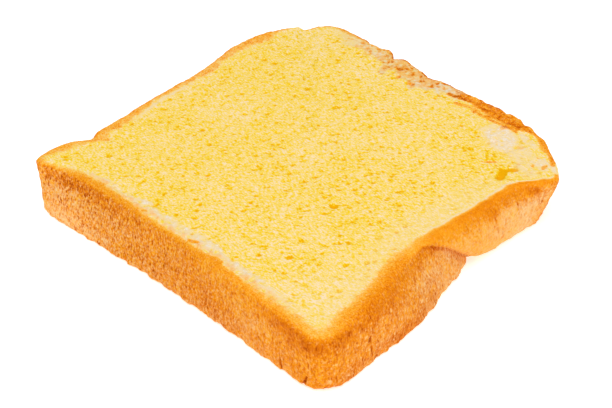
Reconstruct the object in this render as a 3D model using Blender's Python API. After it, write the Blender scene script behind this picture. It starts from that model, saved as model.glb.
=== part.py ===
"""Buttered bread slice: one thick slice of a tall tin loaf, lying on a cut face.

+Z is the slice's thickness. +Y runs from the heel, the side that stood on the tin's floor,
to the domed crown. +X points to the side where the dough swelled over the body of the loaf
and folded into a lobe, with an oblique crease between the two. The body is a loft: every
level is an outline of its own, because the walls lean and the crease moves with the height.
Sizes are in metres, and a level runs from 0 at the lower cut face to 1 at the upper one.
"""

import math

import bpy

THICKNESS = 0.020
LEVEL_HEIGHTS = (0.0, 0.0005, 0.0018, 0.0050, 0.0090, 0.0130, 0.0165, 0.0185, 0.0196, 0.0200)
RAYS = 280
SOLVER_STEPS = 40
LONGEST_RAY = 0.110

# Heel: hollow along its length, more so at the upper face, deepest near the plain side.
HEEL_Y = -0.0488
HEEL_HOLLOW_LOW = 0.0017
HEEL_HOLLOW_HIGH = 0.0054
HEEL_SKEW_LOW = 1.0
HEEL_SKEW_HIGH = 0.6
HEEL_FULLNESS = 0.8

# Plain side: nearly straight, fuller near the crown, nicked near the heel.
PLAIN_X = -0.0697
PLAIN_SWELL = 0.0038
PLAIN_SWELL_Y = 0.0460
PLAIN_SWELL_REACH = 0.0170
PLAIN_NICK = 0.0032
PLAIN_NICK_Y = -0.0285
PLAIN_NICK_REACH = 0.0032
PLAIN_FLARE_LOW = 0.0004
PLAIN_FLARE_HIGH = 0.0014
PLAIN_HOLLOW = 0.0014
PLAIN_HOLLOW_Y = -0.0190
PLAIN_HOLLOW_REACH = 0.0130

# Crown: two shoulders of unlike width, and a step between a low half and a high half.
CROWN_Y = 0.0758
CROWN_STEP = 0.0024
CROWN_STEP_START = -0.0050
CROWN_STEP_END = -0.0330
FOLD_SHOULDER_START = 0.0260
FOLD_SHOULDER_WIDTH = 0.0300
FOLD_SHOULDER_DROP = 0.0182
PLAIN_SHOULDER_START = -0.0515
PLAIN_SHOULDER_WIDTH = 0.0200
PLAIN_SHOULDER_DROP = 0.0186
# Torn places of the crown: (x, depth, reach), where a negative depth stands proud.
CROWN_TEARS = (
    (-0.0630, 0.0042, 0.0018),
    (-0.0310, -0.0011, 0.0016),
    (-0.0272, 0.0025, 0.0015),
    (-0.0092, 0.0018, 0.0022),
    (0.0308, 0.0016, 0.0014),
)

# Fold side: the body below the crease and the lobe above it.
BODY_X_LOW = 0.0550
BODY_X_HIGH = 0.0534
BODY_WAIST = 0.0068
BODY_WAIST_REACH = 0.0380
CREASE_Y_LOW = 0.0290
CREASE_RISE = 0.0220
CREASE_TURN = 0.0090
CREASE_TURN_POWER = 8
CREASE_DEPTH_LOW = 0.0030
CREASE_DEPTH_HIGH = 0.0006
CREASE_REACH = 0.0022
LOBE_X_LOW = 0.0468
LOBE_X_HIGH = 0.0456
LOBE_SLOPE = 0.06
LOBE_TIP_LOW = 0.0012
LOBE_TIP_HIGH = 0.0076
LOBE_TIP_START = 0.0440
LOBE_TIP_LENGTH = 0.0140

# Corners in plan, by the sides that meet there, at the lower and at the upper face.
HEEL_PLAIN_RADII = (0.0060, 0.0030)
HEEL_FOLD_RADII = (0.0100, 0.0060)
CROWN_PLAIN_RADII = (0.0070, 0.0050)
CROWN_FOLD_RADII = (0.0090, 0.0028)

# How far each wall swells halfway up.
PLAIN_BULGE = 0.0006
CROWN_BULGE = 0.0014
BODY_BULGE = 0.0006
LOBE_BULGE = 0.0030
UPPER_EDGE_ROUND = 0.0016
LOWER_EDGE_ROUND = 0.0014

# Rays start here, a point that sees every part of the outline. They swing with the crease,
# so that one column of the loft follows it from face to face.
HUB_X = -0.0080
HUB_Y = 0.0130
SWING_REACH = 0.42

CRUMB_GOLD = (0.86, 0.58, 0.20, 1.0)
CRUMB_ROUGHNESS = 0.55


def mix(low, high, level):
    return low + (high - low) * level


def ramp(value):
    """A smooth step from 0 to 1 as the value goes from 0 to 1."""
    value = min(max(value, 0.0), 1.0)
    return value * value * (3.0 - 2.0 * value)


def bump(distance, reach):
    return math.exp(-((distance / reach) ** 2))


def belly(level):
    """How far a wall swells between its two faces, from 0 at a face to 1 halfway."""
    return 1.0 - (2.0 * level - 1.0) ** 2


def heel_y(x, level):
    along = min(max((x - PLAIN_X) / (BODY_X_HIGH - PLAIN_X), 0.0), 1.0)
    skewed = along ** mix(HEEL_SKEW_LOW, HEEL_SKEW_HIGH, level)
    arch = max(math.sin(math.pi * skewed), 0.0) ** HEEL_FULLNESS
    return HEEL_Y + mix(HEEL_HOLLOW_LOW, HEEL_HOLLOW_HIGH, level) * arch


def plain_x(y, level):
    swell = PLAIN_SWELL * bump(y - PLAIN_SWELL_Y, PLAIN_SWELL_REACH)
    nick = PLAIN_NICK * bump(y - PLAIN_NICK_Y, PLAIN_NICK_REACH) * level
    hollow = PLAIN_HOLLOW * bump(y - PLAIN_HOLLOW_Y, PLAIN_HOLLOW_REACH)
    flare = mix(PLAIN_FLARE_LOW, PLAIN_FLARE_HIGH, level)
    flare *= ramp(2.0 * (PLAIN_NICK_Y - y) / (PLAIN_NICK_Y - HEEL_Y))
    return PLAIN_X - swell + nick + hollow - flare - PLAIN_BULGE * belly(level)


def crown_y(x, level):
    height = CROWN_Y + CROWN_STEP * ramp((CROWN_STEP_START - x) / (CROWN_STEP_START - CROWN_STEP_END))
    fold = max(x - FOLD_SHOULDER_START, 0.0) / FOLD_SHOULDER_WIDTH
    plain = max(PLAIN_SHOULDER_START - x, 0.0) / PLAIN_SHOULDER_WIDTH
    height -= FOLD_SHOULDER_DROP * fold**2 + PLAIN_SHOULDER_DROP * plain**2
    for tear_x, depth, reach in CROWN_TEARS:
        height -= depth * bump(x - tear_x, reach) * level
    return height + CROWN_BULGE * belly(level)


def crease_y(level):
    return CREASE_Y_LOW - CREASE_RISE * level - CREASE_TURN * level**CREASE_TURN_POWER


def fold_x(y, level):
    """The side wall's x: the body up to the crease, the lobe beyond it."""
    beyond = y - crease_y(level)
    notch = mix(CREASE_DEPTH_LOW, CREASE_DEPTH_HIGH, level) * math.exp(-abs(beyond) / CREASE_REACH)
    body = mix(BODY_X_LOW, BODY_X_HIGH, level) + BODY_BULGE * belly(level)
    body -= BODY_WAIST * (1.0 - ramp(-beyond / BODY_WAIST_REACH))
    tip = ramp((y - LOBE_TIP_START) / LOBE_TIP_LENGTH)
    lobe = mix(LOBE_X_LOW, LOBE_X_HIGH, level) + LOBE_SLOPE * y
    lobe += LOBE_BULGE * belly(level) * (1.0 - tip)
    lobe += mix(LOBE_TIP_LOW, LOBE_TIP_HIGH, level) * tip
    blend = ramp(0.5 + beyond / (2.0 * CREASE_REACH))
    return mix(body, lobe, blend) - notch


def outside(x, y, level):
    """Below 0 inside the outline at this level and above 0 outside it, with rounded corners."""
    past_fold = x - fold_x(y, level)
    past_plain = plain_x(y, level) - x
    past_crown = y - crown_y(x, level)
    past_heel = heel_y(x, level) - y
    if past_crown > past_heel:
        radii = CROWN_FOLD_RADII if past_fold > past_plain else CROWN_PLAIN_RADII
    else:
        radii = HEEL_FOLD_RADII if past_fold > past_plain else HEEL_PLAIN_RADII
    radius = mix(*radii, level)
    across = max(past_fold, past_plain) + radius
    along = max(past_crown, past_heel) + radius
    corner = math.hypot(max(across, 0.0), max(along, 0.0))
    return corner + min(max(across, along), 0.0) - radius


def crease_angle(level):
    """Direction from the hub to the crease at this level."""
    y = crease_y(level)
    return math.atan2(y - HUB_Y, fold_x(y, level) - HUB_X)


def ray_angle(ray, level):
    angle = 2.0 * math.pi * ray / RAYS
    middle = crease_angle(0.5)
    from_crease = math.remainder(angle - middle, 2.0 * math.pi)
    return angle + (crease_angle(level) - middle) * bump(from_crease, SWING_REACH)


def edge_inset(height):
    """How far the wall has rolled in towards a cut face at this height."""
    inset = 0.0
    for radius, from_face in ((UPPER_EDGE_ROUND, THICKNESS - height), (LOWER_EDGE_ROUND, height)):
        into_round = min(max(1.0 - from_face / radius, 0.0), 1.0)
        inset += radius * (1.0 - math.sqrt(1.0 - into_round**2))
    return inset


def outline(height):
    """The loop of points where rays from the hub meet the wall at this height."""
    level = height / THICKNESS
    inset = edge_inset(height)
    loop = []
    for ray in range(RAYS):
        angle = ray_angle(ray, level)
        across, along = math.cos(angle), math.sin(angle)
        near, far = 0.0, LONGEST_RAY
        for _ in range(SOLVER_STEPS):
            reach = 0.5 * (near + far)
            if outside(HUB_X + reach * across, HUB_Y + reach * along, level) < -inset:
                near = reach
            else:
                far = reach
        loop.append((HUB_X + near * across, HUB_Y + near * along, height))
    return loop


def centred(loops):
    """The loops moved so that the slice's box is centred on the origin in plan."""
    points = [point for loop in loops for point in loop]
    middle_x = 0.5 * (min(p[0] for p in points) + max(p[0] for p in points))
    middle_y = 0.5 * (min(p[1] for p in points) + max(p[1] for p in points))
    return [[(x - middle_x, y - middle_y, z) for x, y, z in loop] for loop in loops]


def loft(name, loops):
    """One closed mesh through the loops, with a flat cap on the first and on the last."""
    points = [point for loop in loops for point in loop]
    count = len(loops[0])
    faces = [tuple(reversed(range(count)))]
    for row in range(len(loops) - 1):
        for ray in range(count):
            here = row * count + ray
            beside = row * count + (ray + 1) % count
            faces.append((here, beside, beside + count, here + count))
    faces.append(tuple(range(len(points) - count, len(points))))
    mesh = bpy.data.meshes.new(name)
    mesh.from_pydata(points, [], faces)
    mesh.validate()
    mesh.shade_smooth()
    mesh.set_sharp_from_angle(angle=math.radians(40.0))
    return mesh


def bread_material():
    material = bpy.data.materials.new("buttered_bread")
    material.use_nodes = True
    shader = material.node_tree.nodes["Principled BSDF"]
    shader.inputs["Base Color"].default_value = CRUMB_GOLD
    shader.inputs["Roughness"].default_value = CRUMB_ROUGHNESS
    shader.inputs["Metallic"].default_value = 0.0
    return material


def build():
    for old in list(bpy.data.objects):
        bpy.data.objects.remove(old, do_unlink=True)
    collection = bpy.data.collections.new("buttered_bread_slice")
    bpy.context.scene.collection.children.link(collection)
    loops = centred([outline(height) for height in LEVEL_HEIGHTS])
    mesh = loft("bread_slice", loops)
    mesh.materials.append(bread_material())
    collection.objects.link(bpy.data.objects.new("bread_slice", mesh))


build()
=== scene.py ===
"""A buttered slice of white bread: the looks, built round the fixed frame of its solid.

The slice is cut from a loaf, so its two faces are open crumb and its rim is baked crust.
Each face is a slab of crumb whose border dips under the lips of one ring of crust.
Heights and masks come from the same functions on both sides of that joint, so it doesn't show.
Lengths inside the script are in millimetres, and a mesh is written in metres.
"""

import math

import bpy
import numpy as np
from bpy.props import FloatProperty, FloatVectorProperty, IntProperty, PointerProperty
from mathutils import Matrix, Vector
from mathutils.bvhtree import BVHTree


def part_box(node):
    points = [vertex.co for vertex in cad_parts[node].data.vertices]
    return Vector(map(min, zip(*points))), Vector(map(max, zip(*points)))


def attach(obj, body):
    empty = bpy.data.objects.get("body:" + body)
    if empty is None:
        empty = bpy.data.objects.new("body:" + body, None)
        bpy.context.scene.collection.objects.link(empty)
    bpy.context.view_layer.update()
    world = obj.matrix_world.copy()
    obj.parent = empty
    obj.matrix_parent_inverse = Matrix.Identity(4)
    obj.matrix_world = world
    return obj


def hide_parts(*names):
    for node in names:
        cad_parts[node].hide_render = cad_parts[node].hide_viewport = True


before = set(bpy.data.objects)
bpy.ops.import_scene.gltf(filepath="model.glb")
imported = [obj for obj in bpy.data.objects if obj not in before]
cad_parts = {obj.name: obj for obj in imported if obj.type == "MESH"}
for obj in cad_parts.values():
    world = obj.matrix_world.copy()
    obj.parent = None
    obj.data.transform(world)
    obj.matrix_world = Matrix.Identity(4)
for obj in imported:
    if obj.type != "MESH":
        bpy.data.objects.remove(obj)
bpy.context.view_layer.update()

bl_info = {
    "name": "Buttered Bread Slice",
    "version": (1, 0, 0),
    "blender": (4, 5, 0),
    "location": "View3D > Sidebar > Bread",
    "description": "Builds the crumb, the baked crust and the stage of a buttered bread slice",
    "category": "Add Mesh",
}

NODE = "bread_slice"
MM = 0.001

# What the camera looks at, a little off the middle of the slice, and its nearest view, in metres.
CAMERA_TARGET = (0.00835, -0.01226, 0.010)
NEAREST_VIEW = 0.01
# Width of the camera's sensor, in millimetres.
SENSOR_WIDTH = 36.0
# Turn and height of each soft light, in degrees. Both stand this far off, with sides this long, in metres.
KEY_PLACE = (-45.0, 70.0)
FILL_PLACE = (-5.0, 35.0)
LIGHT_DISTANCE = 1.2
LIGHT_SIDE = 1.0
# Roughness of both bread materials.
ROUGHNESS = 0.62

LOW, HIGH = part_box(NODE)
THICKNESS = (HIGH.z - LOW.z) / MM

# The hub that every ray to the crust starts from, and the heights between the two rolled edges.
HUB = (1.3, -2.9)
WALL_LOW = 1.8
WALL_HIGH = THICKNESS - 1.6
WALL_LEVELS = 26

# Corners of the slice seen from the hub, in degrees: heel and body, lobe tip, crown and plain side,
# plain side and heel.
CORNER_FRONT = -46.2
CORNER_TIP = 34.9
CORNER_TOP = 133.4
CORNER_LEFT = 223.6
CORNER_BLEND = 4.0
# The sides between those corners, in the same order.
SIDES = ("fold", "crown", "plain", "heel")


# ---------------------------------------------------------------- settings


def size(name, description, default, low=0.0):
    return FloatProperty(name=name, description=description, default=default, min=low, unit="LENGTH")


def whole(name, description, default, low):
    return IntProperty(name=name, description=description, default=default, min=low)


def amount(name, description, default, unit="NONE"):
    return FloatProperty(name=name, description=description, default=default, unit=unit)


def paint(name, description, default):
    return FloatVectorProperty(
        name=name, description=description, default=default, min=0.0, max=1.0, size=3, subtype="COLOR"
    )


class BreadSizes(bpy.types.PropertyGroup):
    """Sizes of the crumb and the crust."""

    face_cells: whole("Face cells", "Cells along a side of a crumb face", 288, 20)
    ring_columns: whole("Ring columns", "Columns round the crust", 1340, 80)
    wall_rows: whole("Wall rows", "Rows up the crust wall", 40, 8)
    lip: size("Lip", "Width of crust skin that laps onto each face", 0.0042)
    soft_edge: size("Soft edge", "Radius of the rolled edge at the heel", 0.0026)
    fold_edge: size("Fold edge", "Radius of the rolled edge over the fold", 0.0026)
    cut_edge: size("Cut edge", "Radius of the other top edges", 0.0014)
    lower_edge: size("Lower edge", "Radius of the edge that the slice lies on", 0.0011)
    pore_depth: size("Pore depth", "Depth of an ordinary pore in the crumb", 0.00028)
    crust_grain: size("Crust grain", "Height of the grain of the crust", 0.00016)


class BreadColours(bpy.types.PropertyGroup):
    """Colours of the crumb, the butter and the crust, from pale to well baked."""

    cream: paint("Cream", "Crumb that stands proud of the butter", (0.952, 0.752, 0.51))
    crumb: paint("Crumb", "Crumb with butter rubbed in", (0.945, 0.69, 0.18))
    butter: paint("Butter", "Butter in the pores", (0.925, 0.63, 0.024))
    pooled: paint("Pooled butter", "Butter lying deep in a hole", (0.91, 0.575, 0.007))
    deep: paint("Deep butter", "Butter at the bottom of the largest pores", (0.86, 0.41, 0.0012))
    dry: paint("Dry crumb", "Crumb that the butter missed", (0.875, 0.665, 0.39))
    # The tan cast also paints shade into the pores of the plain face.
    tan: paint("Tan cast", "Tint over dry crust and torn crumb", (0.92, 0.95, 0.97))
    white: paint("White crumb", "The whitest flecks of dry crumb", (0.888, 0.805, 0.70))
    peach: paint("Peach", "Crust that has hardly coloured", (0.935, 0.585, 0.265))
    straw: paint("Straw", "Crumb just turning to crust", (0.955, 0.60, 0.13))
    amber: paint("Amber", "Crust just turning colour", (0.955, 0.47, 0.055))
    golden: paint("Golden", "Lightly baked crust", (0.945, 0.36, 0.016))
    orange: paint("Orange", "Baked crust", (0.87, 0.262, 0.004))
    russet: paint("Russet", "Crust baked a shade further", (0.755, 0.19, 0.002))
    brown: paint("Brown", "Well baked crust", (0.63, 0.13, 0.0015))
    dark: paint("Dark", "The darkest flecks of crust", (0.40, 0.07, 0.001))


class StageSizes(bpy.types.PropertyGroup):
    """The floor, the lights and the camera."""

    floor_size: size("Floor", "Side of the floor", 6.0)
    floor_colour: paint("Floor colour", "Pale floor", (0.90, 0.90, 0.90))
    lens: amount("Lens", "Focal length of the camera", 84.29, "CAMERA")
    azimuth: amount("Azimuth", "Camera's turn round the slice, in degrees", -46.536)
    elevation: amount("Elevation", "Camera's angle above the table, in degrees", 38.0)
    distance: size("Distance", "Camera to the middle of the slice", 0.4505)
    key_power: amount("Key power", "Watts of the large soft light", 7.2)
    fill_power: amount("Fill power", "Watts of the side light", 0.5)
    floor_glow: amount("Floor glow", "Light that the lit table gives by itself", 0.45)
    sky: amount("Sky", "Strength of the white surround", 0.63)


# ---------------------------------------------------------------- small mathematics


def ramp(value, start, end):
    """A smooth step from 0 at start to 1 at end."""
    t = np.clip((value - start) / (end - start), 0.0, 1.0)
    return t * t * (3.0 - 2.0 * t)


def mix(a, b, share_of_b):
    return a + (b - a) * share_of_b


def along(value, stops):
    """A value read off a few given stops, (place, value) in rising order."""
    places, values = zip(*stops)
    return np.interp(value, places, values)


# Random values along a side of the noise table, after which the noise repeats.
NOISE_CELLS = 512


def smooth_noise(seed, u, v, cell_u, cell_v=None, around=None):
    """Smooth random values from -1 to 1 on cells of the given size.

    With around, u closes on itself after that length.
    """
    cell_v = cell_v or cell_u
    cells = NOISE_CELLS
    if around:
        cells = max(2, round(around / cell_u))
        cell_u = around / cells
    table = np.random.default_rng(seed).uniform(-1.0, 1.0, (cells, NOISE_CELLS))
    a = np.asarray(u, float) / cell_u
    b = np.asarray(v, float) / cell_v
    i = np.floor(a).astype(int)
    j = np.floor(b).astype(int)
    fa = ramp(a - i, 0.0, 1.0)
    fb = ramp(b - j, 0.0, 1.0)
    i, i_next = i % cells, (i + 1) % cells
    j, j_next = j % NOISE_CELLS, (j + 1) % NOISE_CELLS
    low = mix(table[i, j], table[i_next, j], fa)
    high = mix(table[i, j_next], table[i_next, j_next], fa)
    return mix(low, high, fb)


def rounded(values, times):
    """Values round a closed loop with their small steps smoothed away."""
    for _ in range(times):
        values = 0.25 * np.roll(values, 1, -1) + 0.5 * values + 0.25 * np.roll(values, -1, -1)
    return values


class Relief:
    """A picture of depths on a fine raster, where holes are pressed in one by one."""

    STEP = 0.2
    # A lower power gives a hole a flatter floor and steeper sides.
    ROUNDNESS = 0.8

    def __init__(self, low, high, around=False):
        self.low = np.array(low, float)
        self.around = around
        self.cells = np.ceil((np.array(high, float) - self.low) / self.STEP).astype(int) + 1
        self.depth = np.zeros(self.cells)

    def press(self, u, v, radius, depth, stretch=1.0, turn=0.0):
        """Presses one oval hole with a rounded floor. It is stretched along its turned axis."""
        reach = radius * max(stretch, 1.0)
        first = np.floor((np.array([u, v]) - reach - self.low) / self.STEP).astype(int)
        last = np.ceil((np.array([u, v]) + reach - self.low) / self.STEP).astype(int)
        rows = np.arange(first[0], last[0] + 1)
        lines = np.arange(max(first[1], 0), min(last[1], self.cells[1] - 1) + 1)
        if not self.around:
            rows = rows[(rows >= 0) & (rows < self.cells[0])]
        if not len(rows) or not len(lines):
            return
        du = (rows * self.STEP + self.low[0] - u)[:, None]
        dv = (lines * self.STEP + self.low[1] - v)[None, :]
        lengthwise = (du * math.cos(turn) + dv * math.sin(turn)) / (radius * stretch)
        across = (dv * math.cos(turn) - du * math.sin(turn)) / radius
        bowl = np.clip(1.0 - lengthwise**2 - across**2, 0.0, 1.0) ** self.ROUNDNESS
        window = np.ix_(rows % self.cells[0], lines)
        self.depth[window] = np.maximum(self.depth[window], depth * bowl)

    def scatter(self, seed, per_area, radii, depth, stretches, turns, keep=None):
        """Presses holes at random places. keep(u, v) is the chance that a hole stays."""
        rng = np.random.default_rng(seed)
        span = self.cells * self.STEP
        count = int(per_area * span[0] * span[1])
        places = rng.uniform(0.0, 1.0, (count, 2)) * span + self.low
        radius = np.exp(rng.uniform(np.log(radii[0]), np.log(radii[1]), count))
        stretch = rng.uniform(*stretches, count)
        turn = rng.uniform(*turns, count)
        deep = depth * rng.uniform(0.5, 1.0, count) * (radius / radii[1]) ** 0.5
        chance = rng.uniform(0.0, 1.0, count)
        stays = chance < (keep(places[:, 0], places[:, 1]) if keep else np.ones(count))
        for k in np.flatnonzero(stays):
            self.press(places[k, 0], places[k, 1], radius[k], deep[k], stretch[k], turn[k])

    def read(self, u, v):
        """Depth at each place, smoothly between the raster's points."""
        a = (np.asarray(u, float) - self.low[0]) / self.STEP
        b = (np.asarray(v, float) - self.low[1]) / self.STEP
        if self.around:
            a = a % self.cells[0]
        a = np.clip(a, 0.0, self.cells[0] - (0.001 if self.around else 1.001))
        b = np.clip(b, 0.0, self.cells[1] - 1.001)
        i = a.astype(int)
        j = b.astype(int)
        n = (i + 1) % self.cells[0]
        return mix(
            mix(self.depth[i, j], self.depth[n, j], a - i),
            mix(self.depth[i, j + 1], self.depth[n, j + 1], a - i),
            b - j,
        )


# ---------------------------------------------------------------- the slice's own shape


class Slice:
    """The outline of the solid at every level, read by rays from the hub, with the places on it."""

    COARSE_RAYS = 1440
    # How many times each kind of reading is smoothed.
    OUTLINE_PASSES = 3
    COARSE_PASSES = 6
    LEAN_PASSES = 12
    ARC_PASSES = 20
    MOST_LEAN = 1.5
    # Millimetres over which a trim fades out at its lowest and highest level.
    TRIM_FADE = 2.5

    def __init__(self, columns):
        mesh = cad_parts[NODE].data
        corners = [vertex.co / MM for vertex in mesh.vertices]
        self.tree = BVHTree.FromPolygons(corners, [tuple(face.vertices) for face in mesh.polygons])
        self.levels = np.linspace(WALL_LOW, WALL_HIGH, WALL_LEVELS)
        self.angles = self.even_angles(columns)
        self.radii = np.array([self.ring(z, self.angles) for z in self.levels])
        self.radii = rounded(self.radii, self.OUTLINE_PASSES)
        self.top = self.radii[-1]
        self.bottom = self.radii[0]
        self.lean = self.leaning(self.top)
        middle = rounded(self.radii[WALL_LEVELS // 2], self.ARC_PASSES)
        self.arc, self.around = self.arc_length(self.angles, middle)
        self.trim()

    def ring(self, z, angles):
        """Radius of the solid at one level for each angle."""
        start = Vector((*HUB, z))
        found = []
        for angle in angles:
            hit = self.tree.ray_cast(start, Vector((math.cos(angle), math.sin(angle), 0.0)))
            if hit[0] is None:
                raise RuntimeError(f"no crust at {math.degrees(angle):.1f} degrees, level {z:.1f} mm")
            found.append(hit[3])
        return np.array(found)

    def arc_length(self, angles, radii):
        x = radii * np.cos(angles)
        y = radii * np.sin(angles)
        steps = np.hypot(np.roll(x, -1) - x, np.roll(y, -1) - y)
        return np.concatenate([[0.0], np.cumsum(steps)[:-1]]), steps.sum()

    def even_angles(self, columns):
        """Angles whose columns stand at even spaces along the crust, taking two levels together."""
        coarse = np.linspace(-math.pi, math.pi, self.COARSE_RAYS, endpoint=False)
        total = np.zeros(self.COARSE_RAYS + 1)
        for z in (WALL_LOW + 3.0, WALL_HIGH):
            arc, around = self.arc_length(coarse, rounded(self.ring(z, coarse), self.COARSE_PASSES))
            total += np.append(arc, around) / around
        ends = np.append(coarse, math.pi)
        return np.interp(np.linspace(0.0, 2.0, columns, endpoint=False), total, ends)

    def trim(self):
        """Shifts the outline by the small amounts in TRIMS."""
        for x, y, low, high, spread, shift in TRIMS:
            away = np.abs(self.arc - self.arc_at(x, y))
            away = np.minimum(away, self.around - away)
            level = ramp(self.levels, low, low + self.TRIM_FADE)
            level = level * ramp(self.levels, high, high - self.TRIM_FADE)
            self.radii += shift * level[:, None] * np.exp(-((away / spread) ** 2))
        self.top = self.radii[-1]
        self.bottom = self.radii[0]

    def leaning(self, radii):
        """How much longer a step along the ray is than a step square to the crust."""
        ends = np.append(self.angles, self.angles[0] + 2.0 * math.pi)
        slope = np.diff(np.append(radii, radii[0])) / np.diff(ends)
        lean = rounded(np.sqrt(1.0 + (slope / radii) ** 2), self.LEAN_PASSES)
        return np.clip(lean, 1.0, self.MOST_LEAN)

    def at(self, values, angle):
        """A value kept for each column, read at any angle."""
        return np.interp(angle, self.angles, values, period=2.0 * math.pi)

    def arc_at(self, x, y):
        """Place along the crust of the column that a point lies on."""
        return float(self.at(self.arc, math.atan2(y - HUB[1], x - HUB[0])))

    def polar(self, x, y):
        return np.arctan2(y - HUB[1], x - HUB[0]), np.hypot(x - HUB[0], y - HUB[1])

    def inside(self, x, y, radii):
        """Distance in from the outline with these radii."""
        angle, radius = self.polar(x, y)
        return (self.at(radii, angle) - radius) / self.at(self.lean, angle)

    def wall(self, z):
        """Radius of every column at one level, or at a level for each column."""
        place = np.clip((z - WALL_LOW) / (WALL_HIGH - WALL_LOW), 0.0, 1.0) * (WALL_LEVELS - 1)
        place = np.broadcast_to(place, self.angles.shape)
        below = np.minimum(place.astype(int), WALL_LEVELS - 2)
        columns = np.arange(len(self.angles))
        return mix(self.radii[below, columns], self.radii[below + 1, columns], place - below)


# Where the crust stands out or falls back from the solid by a little, which a plain outline misses:
# plan place, lowest and highest level, spread along the crust, shift outwards in millimetres.
TRIMS = (
    (-62.0, -59.0, 13.0, 24.0, 5.0, 0.5), (-61.5, -62.0, -2.0, 8.0, 3.5, 0.7),
    (-42.0, -64.0, -2.0, 3.0, 15.0, 0.85), (-18.0, -63.0, -2.0, 3.0, 6.0, 0.3),
    (38.0, -64.0, -2.0, 3.0, 10.0, 0.3), (-48.0, 60.5, 14.0, 24.0, 6.0, 0.35),
    (-30.0, 60.6, 14.0, 24.0, 7.0, -0.45), (-17.0, 59.3, 12.0, 24.0, 4.0, -0.6),
    (-3.0, 58.0, 12.0, 24.0, 4.0, -0.6), (14.0, 58.8, 12.0, 24.0, 5.0, -0.3),
    (33.0, 59.2, 12.0, 24.0, 5.0, -0.5), (43.5, 55.5, 12.0, 24.0, 3.5, -0.8),
    (55.0, 51.0, 12.0, 24.0, 5.0, -0.3), (64.5, 42.0, 12.0, 24.0, 3.0, 0.5),
    (60.5, 45.0, -2.0, 12.0, 6.0, -0.8), (59.8, 32.0, -2.0, 4.0, 4.0, 0.4),
    (57.5, 12.5, -2.0, 4.0, 3.0, -0.8), (58.3, 2.0, -2.0, 6.0, 4.0, 0.6),
    (60.5, -12.0, -2.0, 5.0, 5.0, -0.4),
)


def sides_at(angle):
    """How far each angle belongs to each of the four sides. The shares add up to 1."""
    degrees = (np.degrees(angle) - CORNER_FRONT) % 360.0 + CORNER_FRONT
    half = CORNER_BLEND
    past_front = ramp(degrees, CORNER_FRONT, CORNER_FRONT + half) * 0.5 + 0.5
    past_tip = ramp(degrees, CORNER_TIP - half, CORNER_TIP + half)
    past_top = ramp(degrees, CORNER_TOP - half, CORNER_TOP + half)
    past_left = ramp(degrees, CORNER_LEFT - half, CORNER_LEFT + half)
    to_front = ramp(degrees, CORNER_FRONT + 360.0 - half, CORNER_FRONT + 360.0) * 0.5
    fold = past_front - past_tip * past_front + to_front
    return {
        "fold": fold,
        "crown": past_tip - past_top,
        "plain": past_top - past_left,
        "heel": 1.0 - fold - (past_tip - past_left),
    }


# ---------------------------------------------------------------- holes in the crumb and the crust

# The larger holes of the buttered face, one by one: x, y, radius, depth, stretch, turn in degrees.
BUTTER_HOLES = (
    # Round the pool of butter at the lobe.
    (51.5, 30.0, 1.3, 0.7, 1.3, 60), (52.5, 35.5, 0.9, 0.5, 1.3, 40), (52.0, 37.5, 0.6, 0.5, 1.2, 80),
    (51.5, 39.0, 0.6, 0.6, 1.2, 0), (50.0, 25.0, 0.8, 0.6, 1.2, 40),
    # In the middle and towards the front corner.
    (-1.0, 12.5, 0.8, 0.6, 1.3, 20), (-2.5, 10.5, 0.7, 0.6, 1.2, 60), (24.0, -16.5, 1.2, 0.8, 1.3, 30),
    (26.0, -13.5, 0.6, 0.5, 1.3, 30), (31.0, -43.0, 1.0, 0.7, 1.5, 50), (39.0, -39.5, 0.8, 0.6, 1.3, 10),
    (34.5, -49.0, 0.8, 0.6, 1.4, 40), (-6.0, -44.0, 0.8, 0.5, 1.4, 45), (38.0, 13.0, 0.7, 0.6, 1.2, 0),
    (44.0, 10.0, 0.7, 0.5, 1.3, 70),
    # In the open strip along the crown.
    (-3.0, 51.0, 1.0, 0.9, 2.0, 25), (-8.5, 51.5, 0.8, 0.7, 1.4, 70), (-12.0, 55.5, 0.9, 0.6, 1.2, 30),
    (-11.5, 52.5, 0.7, 0.6, 1.4, 80), (3.5, 55.0, 0.7, 0.7, 1.2, 0), (-0.5, 55.5, 0.6, 0.5, 1.2, 0),
    (5.0, 56.5, 0.6, 0.5, 1.3, 0), (9.0, 50.0, 0.6, 0.5, 1.3, 0), (-26.5, 55.0, 0.7, 0.5, 1.5, 30),
    (-32.0, 56.0, 0.6, 0.4, 1.4, 30),
)


def face_relief(seed, sizes, buttered):
    """The pores of one crumb face, as depths."""
    reach = 72.0
    relief = Relief((-reach, -reach), (reach, reach))
    depth = sizes.pore_depth / MM
    grain = (math.radians(20.0), math.radians(70.0))
    relief.scatter(seed, 0.42, (0.26, 0.42), depth * 0.9, (1.2, 2.4), grain)
    relief.scatter(seed + 1, 0.10, (0.40, 0.62), depth * 1.5, (1.0, 2.0), grain)
    relief.scatter(seed + 2, 0.008, (0.6, 0.95), depth * 2.2, (1.0, 1.6), grain)
    relief.scatter(seed + 4, 0.035, (0.45, 0.75), depth * 2.0, (1.0, 1.5), grain, open_middle)
    if buttered:
        for x, y, radius, deep, stretch, turn in BUTTER_HOLES:
            relief.press(x, y, radius, deep, stretch, math.radians(turn))
        relief.scatter(seed + 3, 0.30, (0.35, 0.8), depth * 2.0, (1.0, 1.6), (0.0, math.pi), porous_crown)
        relief.scatter(seed + 5, 0.0014, (0.6, 0.9), depth * 4.0, (1.2, 1.6), grain)
    return relief


def open_middle(x, y):
    """Chance of an extra pore in the open crumb of the middle."""
    return oval(x, y, (16.0, -4.0), (30.0, 26.0), 30.0)


def porous_crown(x, y):
    """Chance of an extra pore in the open strip of crumb along the crown."""
    return ramp(x, -40.0, -28.0) * ramp(x, 14.0, 4.0) * ramp(y, 48.5, 53.0)


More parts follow.
